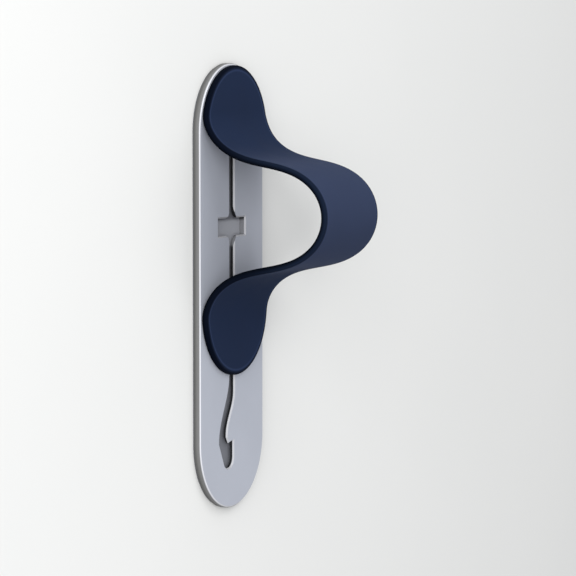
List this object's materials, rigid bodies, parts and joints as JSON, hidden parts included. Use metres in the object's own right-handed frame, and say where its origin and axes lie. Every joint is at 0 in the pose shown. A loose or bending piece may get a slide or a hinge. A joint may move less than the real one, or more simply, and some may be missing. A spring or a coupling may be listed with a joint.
{
  "type": "phone finger strap",
  "caption": "Soft finger band bowed up from a slim slotted metal base plate that sticks to the back of a phone; its lower end slides along the slot.",
  "frame": {"origin": "middle of the adhesive face, which is the lowest face", "axes": "+Y along the plate towards the end where the band is held, +Z away from the phone, +X across the plate"},
  "size_m": [0.026, 0.084, 0.0267],
  "materials": {
    "plate": "satin anodised, with bright cut bevels",
    "pad": "matt foam tape",
    "band": "soft-touch matt elastomer",
    "bars": "plain"
  },
  "bodies": {
    "plate": {"base_plate": "plate", "adhesive_pad": "pad", "strap": "band", "fixed_bar": "bars"},
    "slider": {"sliding_bar": "bars"}
  },
  "joints": [
    {"name": "band_slide", "type": "slide", "parent": "plate", "child": "slider", "axis": [0, 1, 0], "range_m": [-0.025, 0.015], "deforming": ["strap"]}
  ]
}
